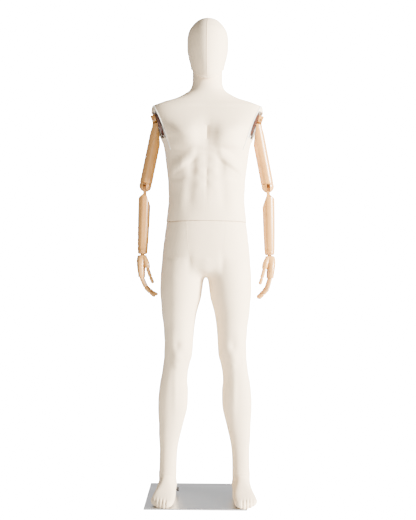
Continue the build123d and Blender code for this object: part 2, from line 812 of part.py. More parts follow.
for side, hand in ((-1, "right"), (1, "left")):
    shoulder_knob = knob_part(side)
    save(shoulder_knob, f"{hand}_shoulder_knob")
    upper_arm = upper_arm_part(side)
    save(upper_arm, f"{hand}_upper_arm")
    elbow_ball = elbow_part(side)
    save(elbow_ball, f"{hand}_elbow_ball")
    forearm = forearm_part(side)
    save(forearm, f"{hand}_forearm")
    wrist_disc = wrist_part(side)
    save(wrist_disc, f"{hand}_wrist_disc")

    palm_frame = tilted(side, WRIST_X, WRIST_Z, 0)
    palm_rings = []
    for z, x, half_x, half_y, power in PALM:
        palm_rings.append(ring(level(palm_frame, x, 0, z), half_x, half_y, half_y, power))
    crown_rings = [
        ring(level(palm_frame, 0, 0, -8.9), 2.4, 11, 11, 2.2),
        ring(level(palm_frame, PALM[0][1], 0, PALM[0][0]), *PALM[0][2:4], PALM[0][3], PALM[0][4]),
    ]
    thenar_rings = []
    for z, x, y, half_x, half_y in THENAR:
        thenar_rings.append(ring(level(palm_frame, x, -side * y, z), half_x, half_y, half_y, 2.2, 12))
    with BuildPart() as palm:
        loft(sections=palm_rings)
        loft(sections=crown_rings, ruled=True)
        loft(sections=thenar_rings)
        with BuildSketch(side_view(palm_frame)):
            Circle(7)
            with Locations((0, -8)):
                Rectangle(14, 16)
        extrude(amount=WRIST_TONGUE, both=True)
        with BuildSketch(side_view(palm_frame)):
            Circle(2.5)
        extrude(amount=17, both=True)
    palm_solid = palm.part

    curls = CURL[hand]
    for index, (finger, y, lengths) in enumerate(FINGERS):
        world_y = ARM_Y - y
        x = WRIST_X + 1.0
        z = WRIST_Z + KNUCKLE_Z
        names = ("proximal", "middle", "distal")
        palm_solid = add_lug(palm_solid, tilted(side, x, z, 0, world_y), KNUCKLE_DROP, FINGER_RADII[0])
        for step in range(3):
            bone_frame = tilted(side, x, z, -curls[index][step], world_y)
            next_radius = FINGER_RADII[step + 1] if step < 2 else 0.0
            bone = segment_part(bone_frame, lengths[step], FINGER_RADII[step], next_radius)
            bone.label = f"{hand}_{finger}_{names[step]}"
            export_step(bone, f"parts/{hand}_{finger}_{names[step]}.step")
            tip = below(bone_frame, lengths[step])
            x = abs(tip.X)
            z = tip.Z

    x = WRIST_X + THUMB_X
    z = WRIST_Z + THUMB_Z
    world_y = ARM_Y - THUMB_Y
    palm_solid = add_lug(palm_solid, tilted(side, x, z, 0, world_y), 4.0, THUMB_RADII[0])
    for step in range(2):
        bone_frame = tilted(side, x, z, -THUMB_LEAN[hand][step], world_y)
        next_radius = THUMB_RADII[step + 1] if step < 1 else 0.0
        bone = segment_part(bone_frame, THUMB_LENGTHS[step], THUMB_RADII[step], next_radius)
        part_name = ("proximal", "distal")[step]
        bone.label = f"{hand}_thumb_{part_name}"
        export_step(bone, f"parts/{hand}_thumb_{part_name}.step")
        tip = below(bone_frame, THUMB_LENGTHS[step])
        x = abs(tip.X)
        z = tip.Z
    palm_solid.label = f"{hand}_palm"
    export_step(palm_solid, f"parts/{hand}_palm.step")
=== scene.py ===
import bpy
import bmesh
import math
import numpy as np
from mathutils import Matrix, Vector
from mathutils.bvhtree import BVHTree


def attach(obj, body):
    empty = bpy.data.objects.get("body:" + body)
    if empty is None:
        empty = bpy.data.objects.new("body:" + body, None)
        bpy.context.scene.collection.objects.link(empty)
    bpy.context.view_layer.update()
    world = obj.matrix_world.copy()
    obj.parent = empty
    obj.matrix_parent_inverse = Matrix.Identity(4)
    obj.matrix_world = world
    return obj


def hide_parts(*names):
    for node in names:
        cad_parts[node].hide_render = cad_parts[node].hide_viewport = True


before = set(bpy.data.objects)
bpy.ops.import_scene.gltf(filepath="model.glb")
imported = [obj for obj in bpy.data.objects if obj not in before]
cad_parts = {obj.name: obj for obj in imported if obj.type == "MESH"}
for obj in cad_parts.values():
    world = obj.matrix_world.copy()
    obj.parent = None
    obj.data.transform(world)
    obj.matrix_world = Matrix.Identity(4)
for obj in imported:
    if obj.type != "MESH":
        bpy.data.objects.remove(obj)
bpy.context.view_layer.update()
MM = 0.001
BODY_Y = -12.0
NECK_Y = -14.0

# ------------------------------------------------------------------ materials


def new_material(name, color, rough, metallic=0.0):
    m = bpy.data.materials.new(name)
    m.use_nodes = True
    b = m.node_tree.nodes["Principled BSDF"]
    b.inputs["Base Color"].default_value = (*color, 1)
    b.inputs["Roughness"].default_value = rough
    b.inputs["Metallic"].default_value = metallic
    return m, m.node_tree, b


def node(tree, kind, **values):
    n = tree.nodes.new(kind)
    for key, value in values.items():
        if key in n.inputs:
            n.inputs[key].default_value = value
        else:
            setattr(n, key, value)
    return n


def coords(tree, scale=(1, 1, 1), rotation=(0, 0, 0)):
    tc = tree.nodes.new("ShaderNodeTexCoord")
    mp = tree.nodes.new("ShaderNodeMapping")
    mp.inputs["Scale"].default_value = scale
    mp.inputs["Rotation"].default_value = rotation
    tree.links.new(tc.outputs["Object"], mp.inputs["Vector"])
    return mp.outputs["Vector"]


def ramp(tree, source, stops):
    r = tree.nodes.new("ShaderNodeValToRGB")
    r.color_ramp.elements[0].position = stops[0][0]
    r.color_ramp.elements[0].color = (*stops[0][1], 1)
    r.color_ramp.elements[1].position = stops[-1][0]
    r.color_ramp.elements[1].color = (*stops[-1][1], 1)
    for position, color in stops[1:-1]:
        e = r.color_ramp.elements.new(position)
        e.color = (*color, 1)
    tree.links.new(source, r.inputs["Fac"])
    return r.outputs["Color"]


def linen(name, color, weave=0.18, tint=1.0):
    m, t, b = new_material(name, color, 0.88)
    b.inputs["Specular IOR Level"].default_value = 0.12
    b.inputs["Sheen Weight"].default_value = 0.12
    b.inputs["Sheen Roughness"].default_value = 0.55
    v = coords(t)
    # slow tone changes of the cloth, and thicker threads here and there
    cloud = node(t, "ShaderNodeTexNoise", Scale=9.0, Detail=3.0, Roughness=0.55)
    t.links.new(v, cloud.inputs["Vector"])
    dark = tuple(c * 0.965 for c in color)
    tone = ramp(t, cloud.outputs["Fac"], [(0.35, dark), (0.65, color)])
    across = node(t, "ShaderNodeTexNoise", Scale=1.0, Detail=2.0, Roughness=0.6)
    t.links.new(coords(t, (90, 90, 1400)), across.inputs["Vector"])
    upright = node(t, "ShaderNodeTexNoise", Scale=1.0, Detail=2.0, Roughness=0.6)
    t.links.new(coords(t, (1400, 1400, 90)), upright.inputs["Vector"])
    mix = node(t, "ShaderNodeMath", operation="ADD")
    t.links.new(across.outputs["Fac"], mix.inputs[0])
    t.links.new(upright.outputs["Fac"], mix.inputs[1])
    slub = ramp(t, mix.outputs[0], [(0.55, (0.93, 0.92, 0.90)), (1.0, (1, 1, 1)), (1.0, (1, 1, 1))])
    mult = node(t, "ShaderNodeMixRGB", blend_type="MULTIPLY", Fac=0.55 * tint)
    t.links.new(tone, mult.inputs["Color1"])
    t.links.new(slub, mult.inputs["Color2"])
    t.links.new(mult.outputs["Color"], b.inputs["Base Color"])
    bump = node(t, "ShaderNodeBump", Strength=weave, Distance=0.0006)
    t.links.new(mix.outputs[0], bump.inputs["Height"])
    t.links.new(bump.outputs["Normal"], b.inputs["Normal"])
    return m


def timber(name, light, dark, rough=0.32, axis=(26, 26, 3.0), rotation=(0, 0, 0)):
    m, t, b = new_material(name, light, rough)
    b.inputs["Specular IOR Level"].default_value = 0.45
    b.inputs["Coat Weight"].default_value = 0.35
    b.inputs["Coat Roughness"].default_value = 0.18
    grain = node(t, "ShaderNodeTexNoise", Scale=1.0, Detail=5.0, Roughness=0.62, Distortion=0.6)
    t.links.new(coords(t, axis, rotation), grain.inputs["Vector"])
    fine = node(t, "ShaderNodeTexNoise", Scale=1.0, Detail=3.0, Roughness=0.7)
    t.links.new(coords(t, tuple(a * 22 for a in axis[:2]) + (axis[2] * 8,), rotation), fine.inputs["Vector"])
    mid = tuple((a + c) / 2 for a, c in zip(light, dark))
    base = ramp(t, grain.outputs["Fac"], [(0.32, dark), (0.47, mid), (0.62, light)])
    pore = ramp(t, fine.outputs["Fac"], [(0.38, (0.86, 0.80, 0.74)), (0.55, (1, 1, 1))])
    mult = node(t, "ShaderNodeMixRGB", blend_type="MULTIPLY", Fac=0.5)
    t.links.new(base, mult.inputs["Color1"])
    t.links.new(pore, mult.inputs["Color2"])
    t.links.new(mult.outputs["Color"], b.inputs["Base Color"])
    bump = node(t, "ShaderNodeBump", Strength=0.06, Distance=0.0005)
    t.links.new(fine.outputs["Fac"], bump.inputs["Height"])
    t.links.new(bump.outputs["Normal"], b.inputs["Normal"])
    return m


def brushed(name, color, rough):
    m, t, b = new_material(name, color, rough, 1.0)
    v = coords(t, (3, 420, 420))
    n = node(t, "ShaderNodeTexNoise", Scale=1.0, Detail=3.0, Roughness=0.6)
    t.links.new(v, n.inputs["Vector"])
    tone = ramp(t, n.outputs["Fac"], [(0.3, tuple(c * 0.93 for c in color)), (0.7, color)])
    t.links.new(tone, b.inputs["Base Color"])
    bump = node(t, "ShaderNodeBump", Strength=0.05, Distance=0.0004)
    t.links.new(n.outputs["Fac"], bump.inputs["Height"])
    t.links.new(bump.outputs["Normal"], b.inputs["Normal"])
    return m


LINEN = (0.87, 0.70, 0.485)
mat_linen = linen("linen_cover", LINEN)
# darker linen for the neck seam: painted shade of the seam's groove
mat_seam_shade = linen("linen_seam_painted_shade", (0.50, 0.37, 0.24), 0.1)
mat_piping = linen("linen_piping", (0.88, 0.83, 0.74), 0.1)
mat_wood = timber("beech", (0.56, 0.275, 0.065), (0.45, 0.20, 0.042))
mat_wood_pale = timber("beech_pale", (0.62, 0.325, 0.09), (0.51, 0.245, 0.06))
# armhole plate wood: the arms' varnished wood painted near-black, painted shade for the shadow inside the
# armholes
mat_armhole_shade = timber("armhole_wood_painted_shade", (0.10, 0.032, 0.016), (0.055, 0.018, 0.010), 0.38)
mat_board = timber("board", (0.55, 0.40, 0.24), (0.47, 0.33, 0.18), 0.7)
mat_steel = brushed("brushed_steel", (0.60, 0.60, 0.61), 0.34)
mat_black, _, _ = new_material("black_plastic", (0.012, 0.012, 0.012), 0.45)
mat_shell, _, _ = new_material("glass_fibre", (0.62, 0.59, 0.52), 0.6)


def dress(obj, material):
    obj.data.materials.clear()
    obj.data.materials.append(material)


for name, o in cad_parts.items():
    if name in ("base_plate", "base_spigot", "head_spigot"):
        dress(o, mat_steel)
    elif name == "lock_knob":
        dress(o, mat_black)
    elif name.endswith("_shell"):
        dress(o, mat_shell)
    elif name in ("hip_plate", "waist_plate"):
        dress(o, mat_board)
    # armhole plates take the near-black wood: painted shade inside the armholes
    elif name.endswith("armhole_plate"):
        dress(o, mat_armhole_shade)
    elif name.endswith("_cover"):
        dress(o, mat_linen)
    elif name.endswith(("palm", "proximal", "middle", "distal")):
        dress(o, mat_wood_pale)
    else:
        dress(o, mat_wood)

# ------------------------------------------------------------------ geometry helpers


def smooth_rows(rows, samples):
    """Monotone cubic through the rows' columns, the first column being the height."""
    rows = np.array(sorted(rows), dtype=float)
    x = rows[:, 0]
    out = [samples]
    for k in range(1, rows.shape[1]):
        y = rows[:, k]
        h = np.diff(x)
        d = np.diff(y) / h
        s = np.zeros_like(y)
        s[1:-1] = np.where(d[:-1] * d[1:] > 0, 2 * d[:-1] * d[1:] / (d[:-1] + d[1:] + 1e-12), 0)
        s[0], s[-1] = d[0], d[-1]
        i = np.clip(np.searchsorted(x, samples) - 1, 0, len(x) - 2)
        t = (samples - x[i]) / h[i]
        a = 2 * t**3 - 3 * t**2 + 1
        b = t**3 - 2 * t**2 + t
        c = -2 * t**3 + 3 * t**2
        e = t**3 - t**2
        out.append(a * y[i] + b * h[i] * s[i] + c * y[i + 1] + e * h[i] * s[i + 1])
    return np.array(out).T


def superellipse(count, half_width, front, back, power):
    a = np.linspace(0, 2 * math.pi, count, endpoint=False)
    c, s = np.cos(a), np.sin(a)
    x = half_width * np.sign(c) * np.abs(c) ** (2 / power)
    deep = np.where(s > 0, back, front)
    y = deep * np.sign(s) * np.abs(s) ** (2 / power)
    return x, y


def tube_mesh(name, rings, close_low=True, close_high=True):
    """rings: array (n, count, 3) in millimetres."""
    n, count, _ = rings.shape
    verts = rings.reshape(-1, 3).tolist()
    i = np.arange(n - 1)[:, None] * count
    j = np.arange(count)[None, :]
    k = (j + 1) % count
    faces = np.stack([i + j, i + k, i + count + k, i + count + j], axis=-1).reshape(-1, 4).tolist()
    if close_low:
        verts.append(rings[0].mean(axis=0).tolist())
        c = len(verts) - 1
        faces += [(int(b), int(a), c) for a, b in zip(range(count), list(range(1, count)) + [0])]
    if close_high:
        verts.append(rings[-1].mean(axis=0).tolist())
        c = len(verts) - 1
        o = (n - 1) * count
        faces += [(o + int(a), o + int(b), c) for a, b in zip(range(count), list(range(1, count)) + [0])]
    return make_mesh(name, verts, faces)


def make_mesh(name, verts, faces):
    me = bpy.data.meshes.new(name)
    me.from_pydata((np.array(verts) * MM).tolist(), [], faces)
    me.update()
    o = bpy.data.objects.new(name, me)
    bpy.context.scene.collection.objects.link(o)
    return o


def get_points(o):
    co = np.empty(len(o.data.vertices) * 3)
    o.data.vertices.foreach_get("co", co)
    return co.reshape(-1, 3) / MM


def set_points(o, pts):
    o.data.vertices.foreach_set("co", (pts * MM).ravel())
    o.data.update()


def apply_modifiers(o):
    dg = bpy.context.evaluated_depsgraph_get()
    me = bpy.data.meshes.new_from_object(o.evaluated_get(dg))
    old = o.data
    o.modifiers.clear()
    o.data = me
    bpy.data.meshes.remove(old)


def join_into(name, objects):
    bm = bmesh.new()
    for o in objects:
        bm.from_mesh(o.data)
    me = bpy.data.meshes.new(name)
    bm.to_mesh(me)
    bm.free()
    for o in objects:
        bpy.data.objects.remove(o, do_unlink=True)
    out = bpy.data.objects.new(name, me)
    bpy.context.scene.collection.objects.link(out)
    return out


def remesh(o, voxel, rounds, factor=0.5):
    m = o.modifiers.new("remesh", "REMESH")
    m.mode = "VOXEL"
    m.voxel_size = voxel * MM
    s = o.modifiers.new("smooth", "SMOOTH")
    s.factor = factor
    s.iterations = rounds
    apply_modifiers(o)


def boolean(o, tools, operation="DIFFERENCE"):
    for tool in tools:
        m = o.modifiers.new("cut", "BOOLEAN")
        m.operation = operation
        m.solver = "EXACT"
        m.object = tool
    apply_modifiers(o)
    for tool in tools:
        bpy.data.objects.remove(tool, do_unlink=True)


def shade(o, angle=40):
    me = o.data
    me.polygons.foreach_set("use_smooth", [True] * len(me.polygons))
    me.update()
    bm = bmesh.new()
    bm.from_mesh(me)
    limit = math.radians(angle)
    for e in bm.edges:
        if len(e.link_faces) == 2 and e.calc_face_angle(0) > limit:
            e.smooth = False
    bm.to_mesh(me)
    bm.free()


def relax(o, pts, weight, rounds):
    """Evens out the surface where weight is above zero."""
    edges = np.empty(len(o.data.edges) * 2, dtype=np.int64)
    o.data.edges.foreach_get("vertices", edges)
    a, b = edges[0::2], edges[1::2]
    degree = np.bincount(a, minlength=len(pts)) + np.bincount(b, minlength=len(pts))
    for _ in range(rounds):
        total = np.zeros_like(pts)
        for k in range(3):
            total[:, k] = np.bincount(a, pts[b, k], len(pts)) + np.bincount(b, pts[a, k], len(pts))
        pts = pts + weight[:, None] * (total / np.maximum(degree, 1)[:, None] - pts)
    return pts


def bumps(x, z, table):
    """Sum of soft bumps: x, z, half sizes, height."""
    total = np.zeros_like(x)
    for cx, cz, sx, sz, height in table:
        total += height * np.exp(-(((x - cx) / sx) ** 2) - ((z - cz) / sz) ** 2)
    return total


def step(value, low, high):
    t = np.clip((value - low) / (high - low), 0, 1)
    return t * t * (3 - 2 * t)


def welt(name, points, radius, material, body, closed=False, sides=8):
    """A thin raised seam through points given in millimetres."""
    pts = np.array(points, dtype=float)
    n = len(pts)
    ahead = np.roll(pts, -1, axis=0) if closed else np.vstack([pts[1:], pts[-1:] * 2 - pts[-2:-1]])
    behind = np.roll(pts, 1, axis=0) if closed else np.vstack([pts[:1] * 2 - pts[1:2], pts[:-1]])
    tangent = ahead - behind
    tangent /= np.linalg.norm(tangent, axis=1)[:, None] + 1e-9
    ref = np.array([0.13, 0.31, 0.94])
    rings = []
    for p, t in zip(pts, tangent):
        u = np.cross(t, ref)
        u /= np.linalg.norm(u) + 1e-9
        w = np.cross(t, u)
        a = np.linspace(0, 2 * math.pi, sides, endpoint=False)
        rings.append(p + radius * (np.cos(a)[:, None] * u + np.sin(a)[:, None] * w))
    if closed:
        rings.append(rings[0])
    o = tube_mesh(name, np.array(rings), not closed, not closed)
    shade(o, 80)
    dress(o, material)
    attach(o, body)
    return o


FORM_DEPTH = 5.5  # the cloth and the glue under it


def liner(name, sources, body, node_name, low, high):
    """The hard form under the cloth: the cloth's surface moved inward."""
    copies = []
    for source in sources:
        copy = bpy.data.objects.new("copy", source.data.copy())
        bpy.context.scene.collection.objects.link(copy)
        bm = bmesh.new()
        bm.from_mesh(copy.data)
        bmesh.ops.recalc_face_normals(bm, faces=bm.faces)
        if bm.calc_volume(signed=True) < 0:
            bmesh.ops.reverse_faces(bm, faces=bm.faces)
        bm.to_mesh(copy.data)
        bm.free()
        normals = np.empty(len(copy.data.vertices) * 3)
        copy.data.vertices.foreach_get("normal", normals)
        set_points(copy, get_points(copy) - FORM_DEPTH * normals.reshape(-1, 3))
        copies.append(copy)
    form = join_into(name, copies)
    # wells and bores in the cloth would turn inside out, so the form stops short of them
    ends = [(high, high + 300), (low - 300, low)]
    boolean(form, [prism("form_end", [(-400, a), (400, a), (400, b), (-400, b)], -400, 400) for a, b in ends])
    shade(form, 50)
    dress(form, mat_shell)
    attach(form, body)
    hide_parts(node_name)
    return form


# ------------------------------------------------------------------ torso and neck
TORSO = [
    (1063, 155, 98, 98, 2.25),
    (1078, 153.5, 98, 96, 2.25),
    (1094, 151.5, 98, 93, 2.25),
    (1109, 150, 98, 90, 2.25),
    (1140, 147, 98, 87, 2.25),
    (1170, 146.8, 99, 86, 2.25),
    (1186, 148, 100, 87, 2.25),
    (1217, 149, 103, 91, 2.3),
    (1247, 152, 106, 97, 2.35),
    (1278, 156, 109, 102, 2.4),
    (1309, 160, 112, 107, 2.4),
    (1339, 164, 117, 111, 2.45),
    (1355, 167.5, 119, 113, 2.5),
    (1370, 172, 119, 114, 2.55),
    (1385, 183, 118, 115, 2.7),
    (1410, 200, 114, 115, 2.8),
    (1440, 213, 105, 112, 2.85),
    (1470, 216.5, 93, 105, 2.9),
    (1493, 215, 81, 95, 2.9),
    (1503, 213.5, 76, 89, 2.8),
    (1509, 208, 73, 85, 2.75),
    (1515, 194, 70.5, 82, 2.65),
    (1524, 171, 67, 77, 2.5),
    (1539, 123, 63, 70, 2.25),
    (1555, 91.5, 60, 64, 2.1),
    (1570, 70, 58, 59.5, 2.0),
    (1585, 61.5, 57.5, 57, 2.0),
    (1600, 58, 57, 56.5, 2.0),
    (1684, 57.3, 57, 57, 2.0),
]
FRONT_TORSO = []
for s in (-1, 1):
    FRONT_TORSO += [
        (s * 78, 1385, 52, 44, 9.0),
        (s * 140, 1405, 34, 40, 3.0),
        (s * 25, 1292, 17, 15, 1.8),
        (s * 25, 1247, 17, 15, 1.8),
        (s * 25, 1198, 17, 17, 1.6),
        (s * 54, 1262, 13, 36, -3.6),
        (s * 62, 1175, 16, 48, -2.2),
        (s * 98, 1270, 26, 24, 3.0),
        (s * 108, 1222, 20, 9, -2.2),
        (s * 105, 1130, 26, 40, 1.8),
        (s * 70, 1505, 60, 9, 1.6),
    ]
FRONT_TORSO += [
    (0, 1400, 9, 50, -3.5),
    (0, 1230, 5, 80, -1.6),
    (0, 1130, 55, 42, 2.5),
    (0, 1322, 26, 9, -2.0),
]


DEEPEST = 4.2  # the shell under the cloth is 5.3 mm down


def torso_skin(z_values, inset=0.0, count=220):
    rows = smooth_rows(TORSO, z_values)
    rings = []
    for z, hw, front, back, power in rows:
        x, y = superellipse(count, hw - inset, front - inset, back - inset, power)
        centre = BODY_Y + (NECK_Y - BODY_Y) * step(np.array(z), 1540, 1610)
        rings.append(np.stack([x, y + centre, np.full(count, z)], axis=1))
    rings = np.array(rings)
    x, y, z = rings[..., 0], rings[..., 1], rings[..., 2]
    facing = step(-(y - BODY_Y), 10, 70)
    relief = 1.8 * bumps(x, z, FRONT_TORSO)
    # lower edge of the chest muscles
    edge = 1331 + 0.0016 * (np.abs(x) - 78) ** 2
    pec = np.exp(-(((np.abs(x) - 80) / 50) ** 4))
    relief += pec * 9 * step(z, edge - 7, edge + 15) * (1 - step(z, 1380, 1470))
    # lower edge of the ribs, running out and down from the middle
    rib = 1300 - 0.62 * (np.abs(x) - 30)
    side = step(np.abs(x), 34, 60) * (1 - step(np.abs(x), 125, 150))
    relief += side * 7 * step(z, rib - 8, rib + 14) * (1 - step(z, rib + 20, rib + 60))
    behind = step(y - BODY_Y, 10, 70)
    spine = bumps(x, z, [(0, 1250, 12, 190, -6), (0, 1420, 10, 60, -3)])
    blades = bumps(
        x,
        z,
        [(-85, 1415, 48, 52, 6), (85, 1415, 48, 52, 6), (-40, 1180, 24, 90, 3), (40, 1180, 24, 90, 3)],
    )
    fade = step(z, 1064, 1085)
    relief = np.where(relief < 0, -DEEPEST * np.tanh(-relief / DEEPEST), relief)
    hollow = spine + blades
    hollow = np.where(hollow < 0, -DEEPEST * np.tanh(-hollow / DEEPEST), hollow)
    rings[..., 1] += (-relief * facing + hollow * behind) * fade
    return rings


def rim(rings, low=True, high=True, depth=1.6):
    """Rounds the cloth edge at the end rings."""
    out = rings.copy()
    for k in range(4):
        d = depth * (1 - math.sqrt(1 - ((3 - k) / 4) ** 2))
        for end, use in ((k, low), (len(out) - 1 - k, high)):
            if use:
                c = out[end].mean(axis=0)
                r = out[end] - c
                length = np.linalg.norm(r[:, :2], axis=1)[:, None]
                out[end, :, :2] = c[:2] + r[:, :2] * (1 - d / length)
    return out


z_torso = np.concatenate(
    [[1063.0, 1063.4, 1064.0, 1065.0], np.arange(1067, 1600, 2.5), np.arange(1600, 1685, 6.0)]
)
outer = rim(torso_skin(z_torso), True, False)
torso = tube_mesh("torso_cloth", outer)
z_inner = np.concatenate([[1050.0], np.arange(1063, 1600, 6.0), np.arange(1600, 1681, 8.0)])
inner_rows = torso_skin(np.clip(z_inner, 1063, 1680), 5.0, 120)
inner_rows[0, :, 2] = 1050.0
core = tube_mesh("torso_core", inner_rows)


RIM_YAW = math.tan(math.radians(9))
RIM_BACK = 45.0  # the cut leaves the flat armhole plane in front of this y


def prism(name, outline, y0, y1, slant=0.0):
    n = len(outline)
    verts = []
    for y in (y0, y1):
        verts += [(x + (y - RIM_BACK) * slant, y, z) for x, z in outline]
    faces = [tuple(range(n)), tuple(range(2 * n - 1, n - 1, -1))]
    faces += [(i, i + n, (i + 1) % n + n, (i + 1) % n) for i in range(n)]
    o = make_mesh(name, verts, faces)
    bm = bmesh.new()
    bm.from_mesh(o.data)
    bmesh.ops.recalc_face_normals(bm, faces=bm.faces)
    bm.to_mesh(o.data)
    bm.free()
    return o


ARM_TOP = np.array([212.0, 1483.0])
ARM_LOW = np.array([174.0, 1376.0])
TILT = math.radians(19.55)
ARM_MID = (ARM_TOP + ARM_LOW) / 2
ARM_Y = -8.0


def rim_frame(s):
    """The cut edge of the cloth: the armhole plane, turned a little to the front."""
    c = np.array([s * math.sin(TILT), 0, math.cos(TILT)])
    e = np.array([s * RIM_YAW, 1.0, 0])
    e /= np.linalg.norm(e)
    n = np.cross(c, e)
    n *= s * np.sign(n[0]) / np.linalg.norm(n)
    o = np.array([s * ARM_MID[0], RIM_BACK, ARM_MID[1]]) - e * (RIM_BACK - ARM_Y)
    return o, n, c, e


def armhole_frame(s):
    n = np.array([s * math.cos(TILT), 0, -math.sin(TILT)])
    c = np.array([s * math.sin(TILT), 0, math.cos(TILT)])
    o = np.array([s * ARM_MID[0], ARM_Y, ARM_MID[1]])
    return o, n, c


def ellipse_plug(name, s, half_deep, half_high, out0, out1, count=96):
    o, n, c = armhole_frame(s)
    a = np.linspace(0, 2 * math.pi, count, endpoint=False)
    rings = []
    for out in (out0, out1):
        ring = o + n * out + c + np.outer(np.cos(a) * half_deep, [0, s, 0])
        rings.append(ring + np.outer(np.sin(a) * half_high, c))
    t = tube_mesh(name, np.array(rings))
    bm = bmesh.new()
    bm.from_mesh(t.data)
    bmesh.ops.recalc_face_normals(bm, faces=bm.faces)
    bm.to_mesh(t.data)
    bm.free()
    return t


tools = [core]
for s in (-1, 1):
    tools.append(
        prism(
            "side_cut",
            [(s * 212, 1483), (s * 174, 1376), (s * 300, 1376), (s * 300, 1483)],
            -250,
            250,
            s * RIM_YAW,
        )
    )
    tools.append(ellipse_plug("pocket", s, 49, 53, 5, -20))
boolean(torso, tools)
shade(torso, 35)
dress(torso, mat_linen)
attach(torso, "torso")
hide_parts("torso_cover", "neck_cover")

# the hard form under the torso cloth, cut away with it at the armholes
form = tube_mesh("torso_form", torso_skin(np.linspace(1078, 1670, 120), 6.2))
FORM_WALL = 30
tools = [tube_mesh("form_core", torso_skin(np.linspace(1074, 1676, 60), FORM_WALL))]
for s in (-1, 1):
    tools.append(
        prism(
            "form_cut",
            [(s * 208, 1486), (s * 170, 1374), (s * 300, 1374), (s * 300, 1486)],
            -250,
            250,
            s * RIM_YAW,
        )
    )
    tools.append(ellipse_plug("form_pocket", s, 50, 54, 5, -22))
boolean(form, tools)
shade(form, 35)
dress(form, mat_shell)
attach(form, "torso")
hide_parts("torso_shell")
torso_tree = BVHTree.FromObject(torso, bpy.context.evaluated_depsgraph_get())


def project(tree, start, direction, lift=0.0):
    hit, normal, _, _ = tree.ray_cast(Vector(start) * MM, Vector(direction))
    if hit is None:
        return None
    return np.array(hit) / MM + np.array(normal) * lift


# neck seam, front centre seam, armhole piping
points = []
for k in range(120):
    a = 2 * math.pi * k / 120
    d = (math.cos(a), math.sin(a), 0)
    z = 1560 + 32 * math.sin(a) * 0.95
    for _ in range(3):
        p = project(torso_tree, (0, BODY_Y, z), d, 0.1)
        if p is None:
            break
        z = 1560 + (p[1] - BODY_Y) * math.tan(math.radians(27)) * 1.0
    if p is not None:
        points.append(p)
# neck seam in the darker linen: painted shade in its groove
welt("neck_seam", points, 0.55, mat_seam_shade, "torso", True)
points = []
for z in np.arange(1066, 1524, 6.0):
    p = project(torso_tree, (0, -300, z), (0, 1, 0), 0.0)
    if p is not None:
        points.append(p)
welt("front_seam", points, 0.4, mat_linen, "torso")
for s, hand in ((-1, "right"), (1, "left")):
    o, n, c, e = rim_frame(s)
    loop = []
    for k in range(140):
        a = 2 * math.pi * k / 140
        d = e * math.cos(a) + c * math.sin(a)
        # walk outward in the armhole plane until the skin ends
        best = None
        base = o - n * 1.2
        far = base + d * 150
        p = project(torso_tree, far, -d, 0.0)
        if p is not None:
            best = p
        if best is not None:
            loop.append(best + n * 0.8)
    loop = np.array(loop)
    if len(loop) > 20:
        for _ in range(3):
            loop = (np.roll(loop, 1, axis=0) + loop * 2 + np.roll(loop, -1, axis=0)) / 4
        welt(f"{hand}_armhole_piping", loop, 1.9, mat_piping, "torso", True, 10)

# ------------------------------------------------------------------ lower body
PELVIS = [
    (864, 105, 66, 84, 2.2),
    (872, 140, 84, 100, 2.3),
    (884, 166, 95, 114, 2.45),
    (898, 171, 100, 120, 2.45),
    (925, 169.5, 103, 122, 2.4),
    (971, 165.5, 101, 119, 2.35),
    (1001, 161.5, 100, 113, 2.3),
    (1017, 160, 99, 109, 2.3),
    (1032, 158, 98.5, 105, 2.25),
    (1047, 155.5, 98, 101, 2.25),
    (1061.6, 155, 98, 98, 2.25),
]
LEG = [
    (915, 170, 1, 96, 118),
    (878, 173.5, 1, 97, 116),
    (848, 175.5, 5.5, 96, 110),
    (832, 175.5, 9, 95, 106),
    (802, 176.5, 13, 92, 100),
    (771, 174.5, 17.5, 89, 94),
    (740, 171.5, 26.5, 86, 89),
    (709, 169.5, 34.5, 82, 82),
    (663, 162.5, 41.5, 77, 74),
    (617, 159.5, 45.5, 72, 64),
    (602, 158, 46.5, 70, 61),
    (556, 159.5, 49.5, 66, 55),
    (540, 159.5, 52.5, 65, 54),
    (525, 161.5, 57.5, 62, 54),
    (510, 163.5, 61, 59, 56),
    (479, 167.5, 66.5, 55, 61),
    (448, 173.5, 68, 52, 66),
    (417, 177.5, 65, 50, 69.5),
    (371, 181, 65.5, 48, 70),
    (341, 181, 68.5, 46, 67),
    (310, 179.5, 76, 43, 62),
    (279, 177.5, 84, 40, 57),
    (248, 177.5, 91.5, 38, 52),
    (218, 175.5, 98.5, 36, 48),
    (187, 173.5, 103.5, 35, 45),
    (140, 174, 106.5, 35, 43),
    (110, 174.5, 107, 37, 43),
    (94, 176.5, 107, 38.5, 43.5),
]
FOOT = [
    (51, 141, 8, 16),
    (49, 141, 19, 36),
    (44, 141, 27, 58),
    (34, 141, 32, 78),
    (20, 141, 34.5, 95),
    (-8, 142, 35, 100),
    (-40, 143, 35.5, 92),
    (-64, 144.5, 37, 77),
    (-88, 146.5, 39.5, 62),
    (-112, 149, 41.5, 50),
    (-136, 151.5, 43, 40),
    (-160, 153.5, 43.5, 34),
    (-176, 154.5, 42.5, 30.5),
    (-189, 155, 39, 27),
    (-197, 155.5, 32, 22.5),
    (-201.5, 156, 20, 15),
]


def pelvis_rings(inset=0.0, step_z=5.0, low=864):
    z_values = np.arange(low, 1061.6, step_z).tolist() + [1061.6]
    rows = smooth_rows(PELVIS, np.array(z_values))
    rings = []
    for z, hw, front, back, power in rows:
        x, y = superellipse(150, hw - inset, front - inset, back - inset, power)
        rings.append(np.stack([x, y + BODY_Y, np.full(150, z)], axis=1))
    return np.array(rings)


def leg_rings(s, low, high, step_z=5.0):
    z_values = np.array(np.arange(low, high, step_z).tolist() + [high])
    rows = smooth_rows(LEG, z_values)
    rings = []
    for z, outer_x, inner_x, front, back in rows:
        x, y = superellipse(80, (outer_x - inner_x) / 2, front, back, 2.12)
        rings.append(np.stack([s * ((outer_x + inner_x) / 2 + x), y + BODY_Y, np.full(80, z)], axis=1))
    return np.array(rings)


